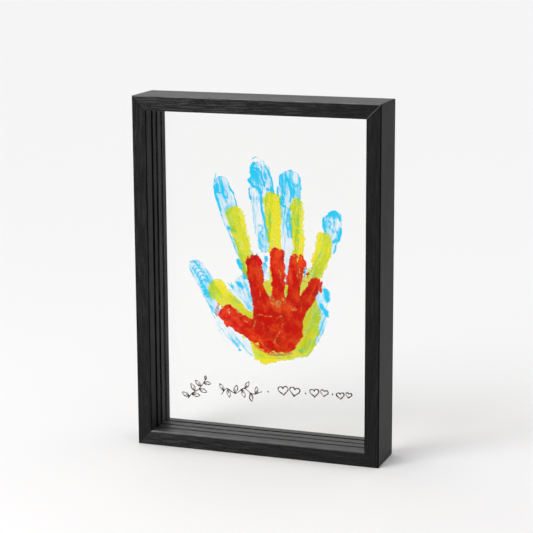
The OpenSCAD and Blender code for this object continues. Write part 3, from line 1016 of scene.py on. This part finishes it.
def make_light_blue():
    hand = Hand(LARGE_HAND, step=0.6)
    seed = 11
    strokes = hand.brushed(BLUE_STROKES, seed + 300)
    bare = hand.covered(BLUE_BARE, seed + 400)
    cut = hand.covered(BLUE_CUT, seed + 600)
    ragged = hand.ragged(seed, coarse=(6, 1.8), fine=(1.6, 2.0))
    level = with_strokes(hand.inside + ragged + 0.4 - CUT_DEPTH * cut, strokes)
    streaks = hand.streaks(seed + 2, length=14, width=1.3, bend=3.0)
    blotches = hand.noise(7, seed + 31)
    veins = hand.curls(4.5, seed + 23) * smooth_step(-0.15, 0.1, blotches)
    scraped = hand.curls(3.2, seed + 71)
    rim = (1 - smooth_step(0.2, 1.3, level)) * smooth_step(-0.1, 0.1, hand.noise(9, seed + 15))
    # Each of these makes the paint thicker or thinner by a factor, so that most of it is thin
    load = 5.0 * streaks + 2.5 * blotches + 0.6 * veins + 0.6 * rim
    load += strokes**1.3 * (4.5 - scraped) - 2.2 * bare - 0.9 * (1 - hand.finger_share)
    coat = np.clip(0.12 * np.exp(load), 0.02, 1.4)
    tone = smooth_step(-0.25, 0.25, streaks)
    material = paint(
        "light_blue_paint", light=(0.001, 0.68, 1.0), dark=(0.001, 0.58, 1.0),
        body=(0.1, 0.1), back_share=0.95,
    )
    film_of_paint(
        "light_blue_print", "large_handprint", "back_sheet", material,
        hand, level, coat, tone,
    )


def make_yellow_green():
    hand = Hand(MEDIUM_HAND, step=0.55)
    seed = 211
    strokes = hand.covered(YELLOW_STROKES, seed + 300)
    bare = hand.covered(YELLOW_BARE, seed + 400)
    cut = hand.covered(YELLOW_CUT, seed + 600)
    ragged = hand.ragged(seed, coarse=(5, 3.0), fine=(1.7, 2.4))
    level = hand.inside + ragged * (1 + 0.8 * bare) + 0.3 - CUT_DEPTH * cut
    streaks = hand.streaks(seed + 2, length=9, width=1.2, bend=3.0)
    patches = hand.noise(3.5, seed + 40)
    crumbs = hand.noise(1.6, seed + 80)
    ridges = hand.curls(3, seed + 61)
    rim = 1 - smooth_step(0.0, 1.6, level)
    coat = 0.85 + 0.9 * streaks + 0.5 * patches + crumbs + 0.25 * ridges
    coat *= (1 - 0.85 * bare * smooth_step(-0.25, 0.1, crumbs)) * (1 - 0.6 * rim)
    tone = 0.52 + 1.3 * streaks + 2.2 * patches + 1.2 * crumbs + 0.3 * ridges
    tone += 0.9 * strokes - 0.25 * bare
    material = paint(
        "yellow_green_paint", light=(1.0, 0.86, 0.01), dark=(0.8, 0.86, 0.07),
        body=(0.3, 0.5), back_share=0.6,
    )
    film_of_paint(
        "yellow_green_print", "medium_handprint", "middle_sheet", material,
        hand, level, np.clip(coat, 0.05, 1.3), np.clip(tone, 0, 1),
    )


def make_red():
    hand = Hand(SMALL_HAND, step=0.45)
    seed = 411
    light = hand.covered(RED_LIGHT, seed + 300)
    dark = hand.covered(RED_DARK, seed + 400)
    torn = hand.covered(RED_TORN, seed + 500)
    cut = hand.covered(RED_CUT, seed + 600)
    smear = hand.covered(RED_SMEAR, seed + 700, wander=1.5)
    lobes = hand.brushed(RED_LOBES, seed + 800)
    scratched = hand.brushed(RED_SCRATCHED, seed + 900)
    specks = hand.noise(1.4, seed + 70)
    flecks = (hand.noise(1.5, seed + 21) - 0.08) * 12 - (1 - torn) * 5
    ragged = hand.ragged(seed, coarse=(4, 2.4), fine=(1.3, 1.8 + 11 * torn))
    level = np.maximum(hand.inside + 0.9 + ragged - CUT_DEPTH * cut, flecks)
    level = with_strokes(level, lobes, 0.4)
    # Paint gets thin towards this outline, and the smears past it are thin all over
    thick = smooth_step(0.0, 1.2, level)
    level = with_strokes(level, smear * (0.85 + 0.9 * specks), 0.3)
    streaks = hand.streaks(seed + 2, length=6, width=1.3, bend=4.0)
    patches = hand.noise(5.5, seed + 40)
    crumbs = hand.noise(1.3, seed + 55)
    hairs = hand.curls(3.2, seed + 23, 0.035)
    scratches = smooth_step(0.1, 0.4, scratched) * smooth_step(-0.1, 0.02, specks)
    coat = 1.2 + 0.5 * streaks + 0.3 * patches + 0.3 * dark
    coat *= (1 - 0.82 * scratches) * (1 - 0.3 * hairs * smooth_step(-0.05, 0.2, patches))
    coat = np.clip(coat, 0.06, 1.5) * (0.14 + 0.86 * thick)
    tone = 0.36 + 0.9 * streaks + 1.8 * patches + 0.5 * crumbs
    tone += 0.7 * light - 0.35 * dark + 0.15 * hairs
    material = paint(
        "red_paint", light=(1.0, 0.075, 0.016), dark=(0.78, 0.005, 0.008),
        body=(0.4, 0.6), back_share=0.55,
    )
    film_of_paint(
        "red_print", "small_handprint", "front_sheet", material,
        hand, level, coat, np.clip(tone, 0, 1),
    )


def turned(x, z, ahead, aside, degrees):
    """A point from x, z: ahead in a direction and aside to its left."""
    right, up = math.cos(math.radians(degrees)), math.sin(math.radians(degrees))
    return x + ahead * right - aside * up, z + ahead * up + aside * right


def heart(x, z, width, lean):
    """The outline of a heart about a point, leaning by an angle in degrees."""
    outline = []
    for k in range(HEART_STEPS + 1):
        t = 2 * math.pi * k / HEART_STEPS
        right = math.sin(t) ** 3 / 2
        up = (13 * math.cos(t) - 5 * math.cos(2 * t) - 2 * math.cos(3 * t) - math.cos(4 * t)) / 34
        outline.append(turned(x, z, width * right, width * up, lean))
    return outline


def leaf(x, z, length, direction):
    """A leaf's outline and midrib, from its stalk's end, growing in a direction in degrees."""
    sides = []
    for side in (LEAF_FAT * length, -LEAF_FAT * length):
        shares = [k / LEAF_STEPS for k in range(LEAF_STEPS + 1)]
        sides.append([
            turned(x, z, length * share, side * math.sin(math.pi * share), direction)
            for share in shares
        ])
    outline = sides[0] + sides[1][::-1][1:]
    return [outline, [(x, z), turned(x, z, MIDRIB * length, 0, direction)]]


def pen_strokes():
    """The drawings' lines with their half widths, in mm from the frame's middle and the floor."""
    lines = [
        smooth_path([(-68, 42.5), (-64, 47.5), (-58, 51.5), (-54, 56.5), (-51, 61)]),
        smooth_path([(-36, 49), (-31, 55), (-23, 51), (-15, 56.5), (-7, 52), (2, 55)]),
    ]
    for x, z, length, direction in (
        (-66.5, 44.3, 8, 155), (-64.5, 46.8, 8, -5), (-61, 49.7, 8, 120), (-57.5, 52, 8, -15),
        (-55.5, 54.5, 7.5, 135), (-53, 58, 7, 0), (-51.5, 60.5, 4.5, 80),
        (-33.5, 52.5, 7.5, 125), (-30, 54.8, 8, -80), (-24, 51.3, 8, 70), (-17, 55.6, 8, -70),
        (-14, 56.4, 7.5, 60), (-9, 52.9, 8, -80), (-4, 52.2, 7, 80),
    ):
        lines += leaf(x, z, length, direction)
    hearts = [
        heart(x, z, width, lean)
        for x, z, width, lean in (
            (21.5, 58, 9.5, 8), (32, 58, 9.5, -8), (50, 58.5, 8.5, 6), (59, 59, 7, -8),
            (73.5, 58, 7, 6), (81, 59, 5.5, -8),
        )
    ]
    dots = [
        [(x - DOT_HALF_LENGTH, z), (x + DOT_HALF_LENGTH, z)]
        for x, z in ((7.5, 55.5), (42, 57), (66.5, 58.5))
    ]
    widths = ((lines, PEN_HALF_WIDTH), (hearts, HEART_HALF_WIDTH), (dots, DOT_HALF_WIDTH))
    return [(line, half_width) for group, half_width in widths for line in group]


def brown_ink():
    material, n = new_material("brown_ink")
    load = n.spread(n.noise(INK_BLOT, 3), 0.3, 0.7)
    n.surface(n.shader("Principled", {
        "Base Color": n.mix_colour(load, rgb(42, 24, 15), rgb(100, 70, 54)),
        "Roughness": 0.55, "Specular IOR Level": 0.2,
    }))
    return material


def make_pen_drawing():
    """Small leaves and hearts drawn in brown pen on the front sheet, as low ridges of ink."""
    sheet_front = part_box("small_handprint")[1].y
    corners = []
    faces = []
    count = len(INK_SECTION)
    for line, half_width in pen_strokes():
        first = len(corners)
        closed = math.dist(line[0], line[-1]) < CLOSED_GAP
        beyond = (line[-2], line[1]) if closed else (line[0], line[-1])
        padded = [beyond[0], *line, beyond[1]]
        for (x, z), before, after in zip(line, padded, padded[2:]):
            span = math.dist(before, after) or 1.0
            across = (-(after[1] - before[1]) / span, (after[0] - before[0]) / span)
            # The pen is pressed more in some places than in others
            pressed = half_width * (0.85 + 0.3 * math.sin(1.7 * x + 0.9 * z))
            for share, height in INK_SECTION:
                corners.append((
                    (x + share * pressed * across[0]) * MM,
                    sheet_front - FILM_BACK_GAP - height * MM,
                    (z + share * pressed * across[1]) * MM,
                ))
        last = len(corners) - count
        for start in range(first, last, count):
            for j in range(count):
                a, b = start + j, start + (j + 1) % count
                faces.append((a, b, b + count, a + count))
        faces.append(tuple(range(first + count - 1, first - 1, -1)))
        faces.append(tuple(range(last, last + count)))
    piece = add_mesh("pen_drawing", corners, faces, brown_ink())
    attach(piece, "front_sheet")


def dress(material, *names):
    """Gives CAD nodes a material."""
    for name in names:
        mesh = nodes[name].data
        mesh.materials.clear()
        mesh.materials.append(material)


def make_floor():
    material, n = new_material("pale_floor")
    n.surface(n.shader("Diffuse", {"Color": FLOOR_COLOUR}))
    corners = [
        (x * FLOOR_HALF, y * FLOOR_HALF, -FLOOR_DROP)
        for x, y in ((-1, -1), (1, -1), (1, 1), (-1, 1))
    ]
    floor = add_mesh("floor", corners, [(0, 1, 2, 3)], material)


def face_from(lamp, towards):
    """Turns a lamp so that it shines from a direction."""
    lamp.rotation_euler = towards.to_track_quat("Z", "Y").to_euler()


def make_light():
    world = bpy.data.worlds.new("studio")
    world.use_nodes = True
    bpy.context.scene.world = world
    n = NodeTree(world.node_tree)
    direction = n.add("ShaderNodeTexCoord").outputs["Generated"]
    inputs = {0: direction, 1: tuple(STUDIO_BRIGHT_SIDE)}
    towards = n.add("ShaderNodeVectorMath", inputs, operation="DOT_PRODUCT").outputs["Value"]
    dimmest, brightest = STUDIO_LIGHT - STUDIO_CONTRAST, STUDIO_LIGHT + STUDIO_CONTRAST
    light = n.spread(towards, -1, 1, dimmest, brightest)
    height = n.size(n.separate(direction)["Z"])
    wall = n.spread(height, WALL_HEIGHT_SHARE, 2 * WALL_HEIGHT_SHARE, 1, 0)
    strength = n.plus(n.times(light, n.minus(1.0, wall)), n.times(wall, WALL_LIGHT))
    shader = n.add("ShaderNodeBackground", {"Color": WHITE, "Strength": strength})
    n.add("ShaderNodeOutputWorld", {"Surface": shader.outputs[0]})

    sun = bpy.data.lights.new("key", "SUN")
    sun.energy = SUN_STRENGTH
    sun.angle = SUN_ANGLE
    reach = math.cos(SUN_ELEVATION)
    from_sun = Vector((
        -math.sin(SUN_AZIMUTH) * reach, -math.cos(SUN_AZIMUTH) * reach, math.sin(SUN_ELEVATION),
    ))
    key = add_object("key", sun)
    key.location = from_sun
    face_from(key, from_sun)

    lamp = bpy.data.lights.new("softbox", "AREA")
    lamp.size = SOFTBOX_SIZE
    lamp.energy = SOFTBOX_POWER
    softbox = add_object("softbox", lamp)
    softbox.location = SOFTBOX_PLACE
    softbox.visible_camera = False
    face_from(softbox, SOFTBOX_PLACE - SOFTBOX_AIM)


def make_camera():
    forward = Vector((
        -math.sin(CAMERA_YAW) * math.cos(CAMERA_PITCH),
        math.cos(CAMERA_YAW) * math.cos(CAMERA_PITCH),
        -math.sin(CAMERA_PITCH),
    ))
    level_right = Vector((math.cos(CAMERA_YAW), math.sin(CAMERA_YAW), 0))
    level_up = level_right.cross(forward)
    right = level_right * math.cos(CAMERA_ROLL) + level_up * math.sin(CAMERA_ROLL)
    up = right.cross(forward)
    low, high = cad_box
    aim = Vector(((low.x + high.x) / 2, low.y, (low.z + high.z) / 2))
    aim += right * AIM_RIGHT + up * AIM_UP
    data = bpy.data.cameras.new("camera")
    data.lens = CAMERA_LENS
    data.sensor_width = CAMERA_SENSOR
    data.clip_start, data.clip_end = CAMERA_CLIP
    camera = add_object("camera", data)
    turn = Matrix((right, up, -forward)).transposed().to_4x4()
    camera.matrix_world = Matrix.Translation(aim - forward * CAMERA_DISTANCE) @ turn
    bpy.context.scene.camera = camera


def dress_wood():
    side_stain = (rgb(9, 9, 9), rgb(18, 18, 18))
    stile_stain = (rgb(12, 12, 12), rgb(18, 18, 18))
    # Painted pore highlights are stronger on the rails, lit across their grain, than on the stiles
    dress(black_wood(
        "black_wood_rail", "X", side_stain, flecks=(0.476, 0.102),
        smoothest=0.32, gloss=0.12, dusted=0.09,
    ), "top_rail")
    dress(black_wood(
        "black_wood_sill", "X", side_stain, flecks=(0.336, 0.072),
        smoothest=0.26, gloss=0.17, dusted=0.08, is_sill=True,
    ), "bottom_rail")
    dress(black_wood(
        "black_wood_stile", "Z", stile_stain, flecks=(0.168, 0.096),
        smoothest=0.48, gloss=0.11, dusted=0.08,
    ), "left_stile", "right_stile")


def dress_metal():
    scratched = (0.1 * MM, 2 * MM, 0.1 * MM)
    drawn = (0.1 * MM, 0.1 * MM, 1 * MM)
    plating = plain_metal("magnet_plating", rgb(176, 176, 180), rgb(206, 206, 208), 0.2, scratched)
    steel = plain_metal("nail_steel", rgb(120, 120, 122), rgb(168, 168, 170), 0.35, drawn)
    dress(plating, "left_rail_magnets", "right_rail_magnets")
    dress(plating, "left_stile_magnets", "right_stile_magnets")
    dress(steel, "left_corner_nails", "right_corner_nails")


make_camera()
make_light()
make_floor()
dress_wood()
dress(clear_sheet(), *PANELS)
dress_metal()
make_light_blue()
make_yellow_green()
make_red()
make_pen_drawing()

scene = bpy.context.scene
scene.view_settings.view_transform = "Standard"
# A ray may pass three sheets and three films, each with a front and a back face
scene.cycles.transparent_max_bounces = 24
